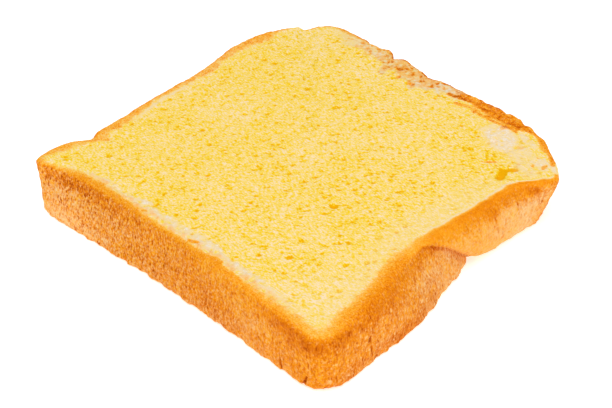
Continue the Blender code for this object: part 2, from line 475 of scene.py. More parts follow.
# Tears in the wall: plan place they start from, lowest and highest level, width, depth, slant.
WALL_TEARS = (
    (55.2, -63.0, 0.0, 4.6, 0.55, 1.0, 0.30), (48.0, -64.0, 0.0, 6.0, 0.40, 0.7, -0.25),
    (61.0, -60.5, 0.0, 1.8, 0.50, 0.8, 0.30), (63.5, -43.2, 3.0, 9.5, 0.30, 0.6, -0.12),
    (63.5, -44.3, 9.2, 11.0, 0.75, 1.0, 0.0),
    (63.5, -41.6, 0.0, 2.2, 0.60, 0.9, 0.20), (28.0, -64.5, 0.0, 1.6, 0.50, 0.6, 0.10),
    (-14.0, -64.5, 0.0, 1.4, 0.60, 0.5, -0.20), (-33.0, -64.0, 0.0, 1.8, 0.60, 0.6, 0.10),
    (56.0, 30.5, 6.0, 15.0, 0.30, 0.4, 0.05), (58.0, 34.5, 9.0, 17.0, 0.40, 0.4, -0.08),
    (55.6, 21.5, 5.0, 12.5, 0.22, 0.3, 0.06),
)


# Millimetres between the presses that make up a tear, and how far the cracks may lean, in radians.
TEAR_STEP = 0.25
CRACK_LEAN = 0.2


def crust_relief(shape, sizes):
    """The pits and short upright cracks of the crust wall, as depths."""
    relief = Relief((0.0, 0.0), (shape.around, THICKNESS), around=True)
    grain = sizes.crust_grain / MM
    upright = (0.5 * math.pi - CRACK_LEAN, 0.5 * math.pi + CRACK_LEAN)

    def mid_wall(s, z):
        return 0.35 + 0.65 * ramp(z, 1.0, 6.0) * ramp(z, 19.5, 14.0)

    relief.scatter(31, 0.60, (0.17, 0.28), grain * 1.6, (1.4, 2.8), upright, mid_wall)
    relief.scatter(32, 0.25, (0.17, 0.26), grain * 2.0, (2.5, 6.0), upright, mid_wall)
    relief.scatter(33, 0.04, (0.26, 0.42), grain * 2.6, (1.2, 2.4), upright, mid_wall)

    left = shape.arc_at(-60.0, -60.0)

    def left_heel(s, z):
        return mid_wall(s, z) * ramp(s, left - 4.0, left + 6.0) * ramp(s, left + 75.0, left + 35.0)

    relief.scatter(34, 0.09, (0.22, 0.34), grain * 3.6, (2.0, 4.0), upright, left_heel)
    for x, y, low, high, width, depth, slant in WALL_TEARS:
        start = shape.arc_at(x, y)
        for z in np.arange(low, high, TEAR_STEP):
            narrow = 1.0 - 0.6 * abs((z - low) / (high - low) - 0.4)
            relief.press(start + slant * (z - low), z, width * narrow, depth * narrow)
    return relief


# ---------------------------------------------------------------- heights and masks


# Crust colour on the buttered face, as (place, value) stops along each side: how far it reaches in from
# the edge, how softly it ends, and how baked it is.
CRUST_BAND = {
    "heel": (
        (
            (-60, 0.8), (-53, 1.0), (-45, 2.3), (-37, 2.9), (-24, 2.1), (-13, 1.4), (0, 1.4), (9, 1.9),
            (18, 2.8), (30, 2.4), (43, 2.5), (49, 2.0), (54, 2.0), (60, 2.6),
        ),
        ((-60, 3.0), (-44, 2.2), (-34, 1.8), (-24, 1.4), (24, 1.2), (34, 2.2), (45, 4.2), (58, 5.6)),
        (
            (-60, 0.30), (-50, 0.40), (-37, 0.42), (-13, 0.40), (18, 0.44), (30, 0.40), (46, 0.50),
            (52, 0.42), (60, 0.30),
        ),
    ),
    "plain": (
        (
            (-62, 3.4), (-52, 5.2), (-43, 5.0), (-35, 4.6), (-23, 3.2), (-12, 2.6), (0, 3.0), (10, 4.8),
            (17, 3.2), (27, 4.4), (38, 6.2), (46, 2.2), (51, 0.4),
        ),
        ((-62, 3.0), (-45, 3.4), (-30, 1.6), (0, 1.4), (20, 1.8), (40, 2.6)),
        ((-62, 0.28), (-45, 0.25), (-30, 0.27), (-12, 0.27), (0, 0.24), (38, 0.28)),
    ),
    "crown": (
        (
            (-54, 0.6), (-48, 2.0), (-40, 2.4), (8, 1.2), (13, 3.0), (20, 4.6), (27, 5.8), (36, 7.0),
            (40, 5.4), (43, 2.8), (50, 2.4), (62, 1.5),
        ),
        ((-54, 1.5), (8, 1.0), (44, 1.0)),
        ((-54, 0.22), (-38, 0.24), (8, 0.34), (14, 0.60), (40, 0.60), (46, 0.46)),
    ),
    "fold": (
        (
            (-64, 2.6), (-60, 2.8), (-56, 3.0), (-50, 3.7), (-42, 3.9), (-34, 3.4), (-24, 3.7), (-20, 3.6),
            (-17, 2.9), (-13, 2.5), (-9, 3.0), (-4, 3.5), (1, 3.1), (9, 2.8), (18, 2.6), (27, 2.4),
            (33, 2.9), (38, 2.4), (42, 1.0),
        ),
        (
            (-62, 6.4), (-48, 6.4), (-34, 4.8), (-23, 4.8), (-15, 3.8), (-7, 1.7), (9, 1.3), (30, 1.0),
            (44, 0.7),
        ),
        (
            (-62, 0.30), (-55, 0.46), (-48, 0.64), (-34, 0.64), (-23, 0.52), (-15, 0.34), (-7, 0.46),
            (2, 0.48), (9, 0.54), (18, 0.57), (27, 0.48), (40, 0.50),
        ),
    ),
}


def crust_band(sides, x, y):
    """Reach in from the top edge, softness of its end and bake of the crust colour, at each place."""
    wander = smooth_noise(51, x, y, 5.0) * 0.5 + smooth_noise(52, x, y, 1.4) * 0.7
    places = {"heel": x, "plain": y, "crown": x, "fold": y}

    def read(kind):
        return sum(sides[side] * along(places[side], stops[kind]) for side, stops in CRUST_BAND.items())

    reach, soft, level = read(0), read(1), read(2)
    smooth = 1.0 - 0.6 * sides["fold"]
    return reach + wander * smooth * np.minimum(reach * 0.3, 1.0), soft, level


def oval(x, y, centre, radii, turn):
    """1 inside a soft turned oval, falling to 0 outside it."""
    c = math.cos(math.radians(turn))
    s = math.sin(math.radians(turn))
    dx = x - centre[0]
    dy = y - centre[1]
    far = np.hypot((dx * c + dy * s) / radii[0], (dy * c - dx * s) / radii[1])
    return ramp(far, 1.25, 0.7)


def stroke(x, y, points, width):
    """1 along a line through the points, falling to 0 at its width."""
    nearest = np.full(np.shape(x), 1e9)
    for (ax, ay), (bx, by) in zip(points[:-1], points[1:]):
        length = (bx - ax) ** 2 + (by - ay) ** 2
        t = np.clip(((x - ax) * (bx - ax) + (y - ay) * (by - ay)) / length, 0.0, 1.0)
        nearest = np.minimum(nearest, np.hypot(x - ax - t * (bx - ax), y - ay - t * (by - ay)))
    return ramp(nearest, width, width * 0.35)


def strongest(masks):
    return np.maximum.reduce([np.asarray(mask) for mask in masks])


def marks(x, y, strokes, ovals=()):
    """The strongest of some strokes (strength, width, points) and ovals (strength, centre, radii, turn)."""
    drawn = [strength * stroke(x, y, points, width) for strength, width, points in strokes]
    return strongest(drawn + [strength * oval(x, y, *rest) for strength, *rest in ovals])


# The dark ridges of torn crust near the lobe end of the crown.
CROWN_STREAKS = (
    (1.0, 1.4, ((10.8, 55.2), (16.1, 56.5), (21.6, 57.5))),
    (1.0, 1.3, ((20.4, 57.0), (24.0, 56.3), (31.9, 55.6), (39.4, 55.7))),
    (0.5, 1.2, ((15.8, 52.3), (20.7, 54.0), (24.2, 53.7))),
    (0.6, 1.0, ((22.7, 52.9), (29.8, 52.4), (34.4, 52.9), (40.2, 53.0))),
    (0.7, 0.7, ((28.0, 57.6), (34.0, 57.8), (38.8, 57.2))),
)

# Places near the lobe end that the butter missed, and the torn fibres at its tip.
LOBE_END_FIBRES = (
    (1.0, 0.7, ((55.6, 50.6), (57.8, 49.0), (59.0, 47.4), (60.2, 45.2))),
    (0.9, 0.6, ((56.2, 46.6), (59.0, 44.9), (61.6, 43.8))),
)
LOBE_END_PATCHES = (
    (1.0, (39.2, 46.6), (8.2, 5.0), -35.0), (0.7, (33.0, 47.0), (3.0, 1.4), 20.0),
    (0.5, (48.5, 43.8), (8.0, 4.0), -20.0), (0.75, (56.6, 43.6), (4.0, 2.4), -25.0),
    (0.45, (55.6, 38.0), (4.5, 3.5), 0.0), (0.85, (46.4, 51.2), (4.6, 1.5), -22.0),
)

# Brown slits and small burnt places: near the lobe end, and where the heel's crust has split.
SLITS = (
    (0.5, 0.45, ((43.6, 33.3), (45.8, 35.4))),
    (0.4, 0.35, ((42.6, 32.4), (44.0, 34.0))),
    (0.45, 0.8, ((4.0, -57.6), (6.6, -56.6))),
    (0.5, 0.8, ((1.6, -59.2), (2.8, -58.8))),
    (0.4, 0.6, ((-17.0, -57.4), (-15.6, -57.0))),
)
BURNT_SPOTS = (
    (0.34, (58.6, 43.2), (0.8, 1.6), 10.0), (0.4, (59.9, 45.9), (0.8, 0.7), 0.0),
    (0.26, (55.4, 41.6), (0.6, 1.0), 30.0), (0.24, (54.2, 45.8), (0.6, 0.5), 0.0),
    (0.26, (52.4, 51.2), (2.4, 0.9), -25.0), (0.16, (46.7, 46.5), (1.5, 1.0), 0.0),
)

# The pool of butter at the lobe, and the drips that ran past it.
POOLS = (
    (1.0, 1.9, ((50.2, 33.2), (51.0, 31.6), (51.6, 29.6))),
    (1.0, 1.3, ((50.6, 33.8), (51.8, 35.0), (52.9, 36.2))),
)
DRIPS = (
    (1.0, 0.7, ((40.2, 37.9), (43.4, 33.7))),
    (1.0, 0.7, ((42.0, 39.2), (44.8, 35.5))),
)

# How far the open strip reaches in from the crown, and the dry strip from the heel.
POROUS_REACH = (
    (-52, 1.5), (-44, 5.5), (-37, 7.5), (-23, 7.0), (-10, 9.0), (1, 8.0), (8, 6.0), (14, 5.0), (20, 3.0),
)
STRIP_REACH = ((-50, 3.6), (-42, 4.6), (-36, 5.0), (-20, 5.6), (0, 6.0))


def buttered_face(shape, pores, x, y):
    """Height above the cut face in millimetres, and the colour masks, of the buttered side."""
    angle, _ = shape.polar(x, y)
    sides = sides_at(angle)
    fold, crown, plain, heel = (sides[side] for side in SIDES)
    inside = shape.inside(x, y, shape.top)
    hole = pores.read(x, y)

    def noise(seed, *cells):
        return smooth_noise(seed, x, y, *cells)

    lumps = noise(60, 1.3)
    crumbs = noise(59, 0.8)
    patchy = 0.5 + 0.5 * noise(63, 2.6, 1.2)

    # Crust colour that laps over the edge, with the torn dark stretch at the crown.
    reach, soft, level = crust_band(sides, x, y)
    lap = np.clip(0.5 - (inside - reach) / soft, 0.0, 1.0)
    tear = oval(x, y, (62.4, 46.4), (2.6, 3.6), 10.0)
    lap = lap * (1.0 - tear)
    past_lap = (1.0 - lap) ** 3
    cut = crown + plain
    torn = crown * along(x, ((8, 0), (13, 1), (43, 1), (47, 0)))
    streaks = smooth_noise(61, x + y * 0.2, y, 4.0, 0.75)
    level = level + 0.26 * ramp(inside, 1.6, 0.4) * cut * (1.0 - torn) * ramp(x, 49.0, 42.0)
    level = level + (0.05 + 0.05 * cut) * lumps + 0.05 * crumbs
    bake = level * lap + torn * lap * (0.24 * streaks + 0.10 * crumbs - 0.06)
    ridges = marks(x, y, CROWN_STREAKS) * (0.85 + 0.35 * lumps + 0.2 * crumbs)
    ridges = np.clip(ridges, 0.0, 1.0)
    bake = np.maximum(bake, ridges * (0.80 + 0.14 * crumbs))

    # The open strip of crumb along the crown, and the butter that lies in the pores.
    porous_reach = along(x, POROUS_REACH)
    porous = crown * along(x, ((-46, 0), (-41, 0.3), (-32, 0.7), (-24, 1), (13, 1), (18, 0)))
    ragged = inside + 1.6 * noise(62, 2.5) + 0.9 * lumps
    porous = porous * ramp(ragged, porous_reach + 1.3, porous_reach - 1.3)
    pools = marks(x, y, POOLS)
    pit = np.maximum(ramp(hole, 0.05, 0.32) + 0.28 * ramp(hole, 0.42, 0.62), 1.2 * pools)
    tanned = along(x, ((-44, 0.08), (-26, 0.14), (-14, 0.22), (-2, 0.20), (4, 0.12), (14, 0.10)))
    tanned = tanned + 0.14 * lumps + 0.16 * crumbs + 0.16 * ramp(inside, 1.4, 0.3)
    # Painted shade: in the porous strip the deeper pores are drawn more baked.
    bake = np.maximum(bake, porous * np.clip(tanned + 0.55 * ramp(hole, 0.12, 0.40), 0.0, 0.85))

    # The dry strip along the heel, and the lobe end that the butter missed.
    strip_far = along(x, STRIP_REACH) + 0.9 * noise(64, 6.0) + 0.5 * lumps
    strip = heel * (1.0 - lap) ** 2 * ramp(inside, strip_far + 0.7, strip_far - 0.7)
    strip_share = ((-52, 0), (-45, 0.6), (-34, 0.85), (-10, 0.9), (26, 1), (40, 0.6), (50, 0.1))
    strip = strip * along(x, strip_share)
    peachy = ramp(inside - reach, 3.4, 0.2) * np.clip(0.20 + 0.20 * lumps + 0.2 * crumbs, 0.0, 1.0)
    bake = np.maximum(bake, strip * peachy)
    lobe_end = marks(x, y, LOBE_END_FIBRES, LOBE_END_PATCHES)
    lobe_end = lobe_end * np.clip(0.85 + 0.55 * lumps + 0.50 * crumbs, 0.0, 1.1)

    # Soft changes of colour next to the crust: a golden halo, the rim of the front corner, the pale rim
    # of the lobe.
    side_light = fold * along(y, ((-60, 0.3), (-40, 1), (14, 1), (30, 0.3))) * ramp(inside, 16.0, 7.0)
    edge_light = plain * along(y, ((-30, 0), (-20, 1), (-4, 1), (4, 0))) * ramp(inside - reach, 2.2, 1.0)
    halo = fold * along(y, ((-56, 1), (-26, 0.8), (-14, 0.7), (-8, 0)))
    halo = halo + heel * along(x, ((24, 0), (38, 0.6), (50, 1)))
    halo = halo * ramp(inside - reach, 8.0, 0.5) * (0.11 + 0.05 * lumps + 0.03 * crumbs)
    bake = bake + halo * (1.0 - lap)
    front_rim = oval(x, y, (59.0, -57.0), (17.0, 17.0), 0.0) * ramp(inside, 2.8, 0.4)
    bake = np.maximum(bake, front_rim * (0.58 + 0.06 * crumbs))
    rim = fold * along(y, ((-14, 0), (-4, 1), (44, 1))) * ramp(inside - reach, 1.5, 0.4) * past_lap

    # How dry the crumb is, and the thin line of crust along the crown's edge.
    missed = 0.38 + 0.45 * patchy + 0.25 * along(x, ((-30, 1), (-16, 0), (-4, 0), (4, 1), (14, 1.4)))
    strip_dry = strip * np.clip(0.66 + 0.50 * lumps + 0.65 * crumbs, 0.0, 1.2)
    side_dry = (0.14 + 0.08 * patchy) * side_light * past_lap
    edge_dry = 0.7 * edge_light * past_lap
    dry = strongest((porous * missed, strip_dry, tear, lobe_end, rim * 0.92, edge_dry, side_dry))
    crust_edge = crown * ramp(inside, 1.5, 0.5)
    dry = dry * (1.0 - 0.8 * np.maximum(crust_edge, ridges))
    bake = bake + 0.22 * crust_edge * porous * (1.0 + 0.6 * lumps)
    starts = (crown + plain * ramp(y, 50.0, 56.0)) * along(x, ((-57, 0), (-54, 1), (-42, 1), (-36, 0)))
    starts = starts * ramp(inside, 2.0, 0.9)
    bake = np.maximum(bake, starts * (0.40 + 0.08 * lumps))
    plain_dry = along(y, ((-30, 0.3), (-10, 0.8), (10, 1.3), (24, 1.2), (40, 0.3)))
    dry = np.maximum(dry, 0.19 * lap * plain * plain_dry)
    front = oval(x, y, (50.0, -52.0), (17.0, 14.0), 45.0)
    dry = np.clip(dry + front * 0.05 * past_lap, 0.0, 1.0)
    slits = marks(x, y, SLITS, BURNT_SPOTS)
    bake = np.maximum(bake, slits)
    dry = dry * (1.0 - 0.8 * np.clip(slits * 2.0 + pools, 0.0, 1.0))
    # Painted shade: the porous strip is drawn less pale in its pores.
    dry = dry * (1.0 - 0.75 * porous * ramp(hole, 0.10, 0.32))
    dry = dry * (1.0 - 0.8 * lap * crown * ramp(x, 43.0, 49.0))

    butter = 0.52 + 0.10 * noise(65, 16.0) + 0.08 * noise(66, 5.0)
    butter = butter + 0.08 * noise(67, 2.0) - 0.10 * front + 0.6 * marks(x, y, DRIPS) + 0.35 * pools
    butter = mix(butter, 0.42, np.clip(ramp(inside, 7.0, 1.0) + 0.7 * side_light, 0.0, 1.0) * 0.8)

    # The knife leaves a nearly flat face that sinks a little towards the soft edges.
    height = 0.16 * noise(71, 17.0) + 0.10 * noise(72, 6.0)
    height = height + 0.07 * noise(73, 1.9) + 0.05 * noise(74, 0.9)
    height = height - hole * (1.0 - 0.5 * lap) - 0.5 * slits - 0.5 * pools
    soft_body = heel + fold * ramp(y, -12.0, -24.0)
    height = height - 0.4 * soft_body * np.exp(-np.clip(inside, 0, None) / 2.2)
    height = height + strip * (0.10 + 0.25 * lumps + 0.12 * crumbs) + 0.30 * lobe_end * (0.4 + 0.6 * lumps)
    crags = 0.30 * streaks + 0.25 * noise(76, 1.1) - 0.40 * ridges + 0.25
    height = height + torn * lap * crags + porous * (0.30 * noise(77, 1.6) + 0.15 * lumps - 0.1)
    rolled = fold * along(y, ((-20, 0), (-8, 1)))
    grain = mix(mix(0.7, 0.35, rolled), 1.0, np.clip(torn + plain, 0.0, 1.0))
    rim_tan = crown * ramp(x, 16.0, 10.0) + heel * ramp(x, 30.0, 0.0)
    tan = strongest((porous, 0.35 * strip, 0.8 * rim_tan * lap))
    return dict(height=height, bake=bake, butter=butter, dry=dry, pit=pit, grain=grain, tan=tan)


def plain_face(shape, pores, x, y):
    """Height and masks of the side that the slice lies on, which was cut but not buttered."""

    def noise(seed, cell):
        return smooth_noise(seed, x, y, cell)

    inside = shape.inside(x, y, shape.bottom)
    hole = pores.read(x, y)
    reach = 1.8 + 0.7 * noise(81, 5.0) + 0.3 * noise(82, 1.6)
    lap = ramp(inside - reach, 0.8, -0.8)
    height = hole * (1.0 - 0.5 * lap) + 0.05 * (1.0 + noise(83, 1.4))
    height = height + 0.04 * (1.0 + noise(84, 6.0))
    # Painted shade in the pores: they are drawn less dry, yellower and, through the tan cast, darker by
    # depth.
    dry = (0.62 + 0.20 * noise(85, 4.0)) * (1.0 - 0.75 * ramp(hole, 0.05, 0.26))
    butter = 0.14 + 0.06 * noise(86, 8.0) + 0.08 * noise(87, 1.6)
    pit = 0.45 * ramp(hole, 0.04, 0.34)
    grain = np.full(x.shape, 0.8)
    tan = strongest((0.7 * lap, 0.6 * ramp(hole, 0.05, 0.30)))
    bake = 0.50 * lap
    return dict(height=height, bake=bake, butter=butter, dry=dry, pit=pit, grain=grain, tan=tan)


def by_level(z, place_, tables):
    """Blends three tables of stops: near the upper rim, at mid height and near the lower edge."""
    top, middle, low = (along(place_, stops) for stops in tables)
    return mix(mix(low, middle, ramp(z, 3.0, 7.5)), top, ramp(z, 12.0, 17.0))


# How baked and how pale the heel and the body are, as (place, value) stops along them: near the upper
# rim, at mid height and near the lower edge; the body's darker lower-edge stops are painted shade.
HEEL_BAKE = (
    (
        (-62, 0.46), (-57, 0.56), (-48, 0.70), (-36, 0.66), (-22, 0.57), (9, 0.50), (22, 0.43), (32, 0.45),
        (40, 0.60), (50, 0.70), (60, 0.69),
    ),
    (
        (-60, 0.42), (-48, 0.46), (-30, 0.50), (-9, 0.51), (3, 0.55), (16, 0.56), (30, 0.47), (40, 0.46),
        (50, 0.55), (60, 0.53),
    ),
    ((-60, 0.34), (-48, 0.38), (-30, 0.51), (3, 0.56), (23, 0.58), (40, 0.52), (60, 0.52)),
)
HEEL_PALE = (
    ((-60, 0.10), (-30, 0.14), (0, 0.08), (20, 0.02), (60, 0.02)),
    ((-60, 0.46), (-45, 0.40), (-30, 0.28), (0, 0.18), (20, 0.18), (34, 0.26), (50, 0.14), (60, 0.02)),
    ((-60, 0.56), (-40, 0.54), (-25, 0.32), (10, 0.28), (30, 0.30), (50, 0.16), (60, 0.06)),
)
# Painted shade: the body's stops near its lower edge run darker from -54 to -20 mm.
BODY_BAKE_AND_LOW_SHADE = (
    ((-62, 0.69), (-54, 0.67), (-46, 0.64), (-35, 0.58), (-12, 0.56)),
    ((-62, 0.52), (-54, 0.54), (-44, 0.51), (-38, 0.45), (-30, 0.54), (-22, 0.50), (-10, 0.47), (6, 0.45)),
    ((-62, 0.48), (-54, 0.62), (-40, 0.62), (-32, 0.76), (-25, 0.70), (-18, 0.58), (-8, 0.50), (6, 0.46)),
)
BODY_PALE = (
    ((-62, 0.02), (-30, 0.03), (-12, 0.08), (2, 0.2)),
    ((-62, 0.06), (-54, 0.14), (-40, 0.22), (-28, 0.20), (-18, 0.38), (6, 0.46)),
    ((-62, 0.06), (-54, 0.26), (-40, 0.30), (-30, 0.24), (-18, 0.42), (6, 0.50)),
)

# The lobe: the level down to which it is orange, how baked it is below that and above it, and how
# pale it is below.
ORANGE_RIM = (
    (-8, 16.0), (4, 16.0), (13, 15.4), (18, 13.8), (21, 15.8), (28, 15.4), (33, 14.4), (37, 16.6),
    (41, 17.4), (46, 17.4),
)
LOBE_BAKE = ((-6, 0.33), (10, 0.31), (20, 0.31), (28, 0.29), (36, 0.29), (40, 0.23), (46, 0.20))
LOBE_RIM_BAKE = (
    (-8, 0.40), (4, 0.45), (12, 0.54), (18, 0.60), (24, 0.50), (33, 0.54), (39, 0.46), (46, 0.38),
)
LOBE_PALE = ((-6, 0.20), (8, 0.26), (16, 0.32), (24, 0.54), (32, 0.60), (38, 0.64), (46, 0.68))
# Upright marks on the lobe: strength, width, points along it and up it.
LOBE_MARKS = (
    (0.27, 1.3, ((35.3, 17.8), (35.8, 14.6), (37.2, 11.5))),
    (0.22, 0.9, ((28.2, 14.6), (27.6, 7.0))),
    (0.26, 0.9, ((18.0, 15.5), (18.6, 9.5))),
    (0.22, 0.7, ((22.4, 13.0), (21.4, 6.0))),
    (0.16, 0.6, ((39.4, 11.0), (39.0, 8.0))),
)


def crust_wall(shape, pits, angle, s, x, y, z):
    """Height out of the crust wall in millimetres, and its masks."""
    sides = sides_at(angle)
    fold, crown, plain, heel = (sides[side] for side in SIDES)
    hole = pits.read(s, z)

    def noise(seed, width, height_):
        return smooth_noise(seed, s, z, width, height_, shape.around)

    broad = noise(91, 9.0, 7.0)
    patch = noise(92, 3.2, 3.2)
    grain = noise(93, 0.9, 1.2)
    upright = noise(94, 1.0, 4.5)
    fine = noise(95, 0.6, 0.7)
    uneven = z + 1.2 * patch
    heel_at = by_level(uneven, x, HEEL_BAKE)
    heel_pale_at = by_level(z, x, HEEL_PALE)
    # The body's table includes painted shade along its lower edge.
    body_bake_and_shade = by_level(uneven, y, BODY_BAKE_AND_LOW_SHADE)
    body_pale_at = by_level(z, y, BODY_PALE)

    # The lobe is smooth and orange just under its rim, and fades to peach below.
    orange_rim = along(y, ORANGE_RIM)
    band = ramp(z + 0.5 * patch + 0.5 * upright, orange_rim - 2.4, orange_rim + 2.4)
    tip_end = ramp(y, 18.0, 26.0)
    lobe = mix(along(y, LOBE_BAKE), along(y, LOBE_RIM_BAKE), band)
    lobe = lobe + tip_end * (0.05 * upright + 0.06 * patch)
    lobe = lobe + marks(y, z, LOBE_MARKS) * (0.8 + 0.4 * upright)
    lobe_pale = along(y, LOBE_PALE) * (1.0 - band)
    above = above_crease(y, z)
    lobe_share = fold * along(y, ((-20, 0), (-14, 1), (44, 1))) * ramp(above, -0.25, 0.25)
    unseen = crown + plain
    far = 0.54 + 0.12 * ramp(uneven, 12.0, 17.0)
    bake = heel * heel_at + fold * mix(body_bake_and_shade, lobe, lobe_share) + unseen * far
    pale = heel * heel_pale_at + fold * mix(body_pale_at, lobe_pale, lobe_share) + unseen * 0.16

    rough = 1.0 - 0.55 * lobe_share * (1.0 - 0.5 * tip_end)
    slow = 1.0 - 0.6 * heel * ramp(x, 10.0, -10.0)
    mottled = slow * (0.04 * broad + 0.05 * patch) + 0.05 * grain + 0.06 * upright + 0.05 * fine
    bake = bake + rough * mottled
    # Painted shade: the crust is drawn darker the deeper each pit is.
    bake = bake + 0.30 * np.clip(hole / 0.3, 0, 1) + 0.25 * np.clip(hole / 0.5 - 0.6, 0, 1)
    tear = oval(x, y, (63.4, 45.6), (3.0, 4.0), 10.0) * ramp(z, 17.2, 18.8)
    bake = bake * (1.0 - 0.9 * tear)
    pale = np.maximum(pale, tear)
    height = 0.16 * patch + 0.30 * broad + 0.10 * grain + 0.09 * upright + 0.05 * fine
    height = height * rough - hole
    crease = fold * along(y, ((-19, 0), (-12, 1), (13, 1), (16, 0)))
    height = height - crease * 0.48 * np.exp(-((above / 0.35) ** 2))
    height = height + crease * 0.45 * np.exp(-(((above - 1.5) / 1.1) ** 2))
    # Painted shade: a dark line along the crease, and darker crust for a few millimetres under the lobe's
    # lip.
    bake = bake + crease * 0.13 * np.exp(-(((above + 0.25) / 0.40) ** 2))
    bake = bake + crease * 0.08 * ramp(above, -3.5, -0.2) * ramp(above, 0.1, -0.1)
    specks = ramp(noise(99, 0.6, 1.1), 0.60, 0.85) * fold * (1.0 - lobe_share)
    specks = specks * ramp(z, 17.5, 15.0) * ramp(hole, 0.15, 0.05)
    bake = bake * (1.0 - 0.45 * specks)
    dull = heel * along(x, ((-60, 0.3), (-40, 1), (0, 1), (30, 0.8), (50, 0.45)))
    dull = dull * mix(ramp(x, -50.0, -22.0), 1.0, ramp(z, 5.0, 12.0))
    grain_size = heel * along(x, ((-60, 1.25), (-20, 1.0), (0, 0.85), (30, 0.62), (60, 0.45)))
    grain_size = grain_size + fold * mix(0.58, 0.34 + 0.2 * tip_end, lobe_share) + unseen * 0.85
    return {
        "height": height,
        "bake": np.clip(bake, 0.0, 1.0),
        "butter": np.full(x.shape, 0.45),
        "dry": np.clip(0.1 + pale * (1.0 + 0.35 * patch + 0.25 * fine) + 0.5 * specks, 0.0, 1.0),
        "pit": np.zeros(x.shape),
        "grain": grain_size,
        "tan": dull + 0.4 * unseen + fold * mix(mix(0.42, 0.8, ramp(y, -34.0, -20.0)), 0.6, lobe_share),
    }


def ragged_edge(shape, sides, inset, z):
    """Shift outwards, in millimetres, of the crumbling lower edge and the torn upper edges."""
    s = np.broadcast_to(shape.arc, z.shape)
    coarse = smooth_noise(96, s, 0.0 * s, 2.3, 4.0, shape.around)
    fine = smooth_noise(97, s, 0.0 * s, 0.9, 4.0, shape.around)
    low = ramp(z, 3.0, 0.9) * ramp(inset, 3.4, 1.2)
    high = (sides["crown"] + sides["plain"]) * ramp(z, 17.0, 19.4) * ramp(inset, 2.5, 0.8)
    lumps = smooth_noise(98, s, 0.0 * s, 5.5, 4.0, shape.around)
    return low * (0.34 * coarse + 0.22 * fine - 0.06) + high * (0.20 * lumps + 0.16 * coarse + 0.10 * fine)


# Level of the crease along the fold side, and how much shorter a step square to it is than one straight up.
CREASE_LEVEL = (
    (-22, 21.5), (-17.4, 20.8), (-12.2, 19.2), (-8.9, 17.6), (-2, 13.2), (2.2, 9.5), (6, 6.1), (13.1, 0),
)
CREASE_SQUARE = 0.72


def above_crease(y, z):
    """Height above the crease that runs down between the body and the lobe, measured square to it."""
    return (z - along(y, CREASE_LEVEL)) * CREASE_SQUARE


# ---------------------------------------------------------------- mesh work

# What the mesh tells the material: how baked, how buttered, how dry or pale, how deep in a pore, how
# grainy and how tanned. Bake and tan also carry some painted shade.
MASKS = ("bake", "butter", "dry", "pit", "grain", "tan")


def deselect():
    bpy.ops.object.select_all(action="DESELECT")


def pick(piece):
    """Selects this piece alone and makes it active."""
    deselect()
    piece.select_set(True)
    bpy.context.view_layer.objects.active = piece


def edit(piece):
    """Opens one piece in edit mode with nothing selected."""
    pick(piece)
    bpy.ops.object.mode_set(mode="EDIT")
    bpy.ops.mesh.select_mode(type="VERT")
    bpy.ops.mesh.select_all(action="DESELECT")


def close_edit():
    bpy.ops.object.mode_set(mode="OBJECT")


def flat_grid(name, columns, rows):
    """A flat grid of columns by rows of cells, ready to be laid in place."""
    deselect()
    bpy.ops.mesh.primitive_grid_add(x_subdivisions=columns, y_subdivisions=rows, size=2.0)
    piece = bpy.context.active_object
    piece.name = name
    piece.data.name = name
    return piece


def points_of(piece):
    points = np.empty(len(piece.data.vertices) * 3, np.float32)
    piece.data.vertices.foreach_get("co", points)
    return points.reshape(-1, 3)


def grid_places(piece):
    """Column and row of each point of a fresh grid, from 0 to 1."""
    points = points_of(piece)
    return (points[:, 0] + 1.0) / 2.0, (points[:, 1] + 1.0) / 2.0


def counted(items, field):
    """One whole number read from every item of a mesh."""
    found = np.empty(len(items), np.int32)
    items.foreach_get(field, found)
    return found


def map_layer(mesh):
    """The mesh's one texture map, under the name that the export looks for."""
    layer = mesh.uv_layers[0] if mesh.uv_layers else mesh.uv_layers.new()
    layer.name = "OFBake"
    return layer


def place(piece, x, y, z):
    points = np.stack([x, y, z], -1).reshape(-1, 3) * MM
    piece.data.vertices.foreach_set("co", points.astype(np.float32).ravel())
    piece.data.update()


def keep_masks(piece, masks):
    """Stores the masks that the material reads, as one number a point."""
    for name in MASKS:
        layer = piece.data.attributes.new(name, "FLOAT", "POINT")
        layer.data.foreach_set("value", np.asarray(masks[name], np.float32).ravel())


def finish_piece(piece, material):
    piece.data.materials.clear()
    piece.data.materials.append(material)
    pick(piece)
    bpy.ops.object.shade_smooth()
    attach(piece, "root")
    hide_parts(NODE)
    deselect()


def outward(piece):
    """Turns every face to point out of the closed piece."""
    edit(piece)
    bpy.ops.mesh.select_all(action="SELECT")
    bpy.ops.mesh.normals_make_consistent(inside=False)
    close_edit()


# ---------------------------------------------------------------- the crumb


# How far the crumb's border runs under the lip of crust, and how far it sinks there, in millimetres.
UNDER_LIP = 1.8
SINK = 0.6
# Each step draws the border together by its first share and brings it to mid height by its second.
CLOSING_STEPS = ((0.84, 0.84), (1.0, 0.0))


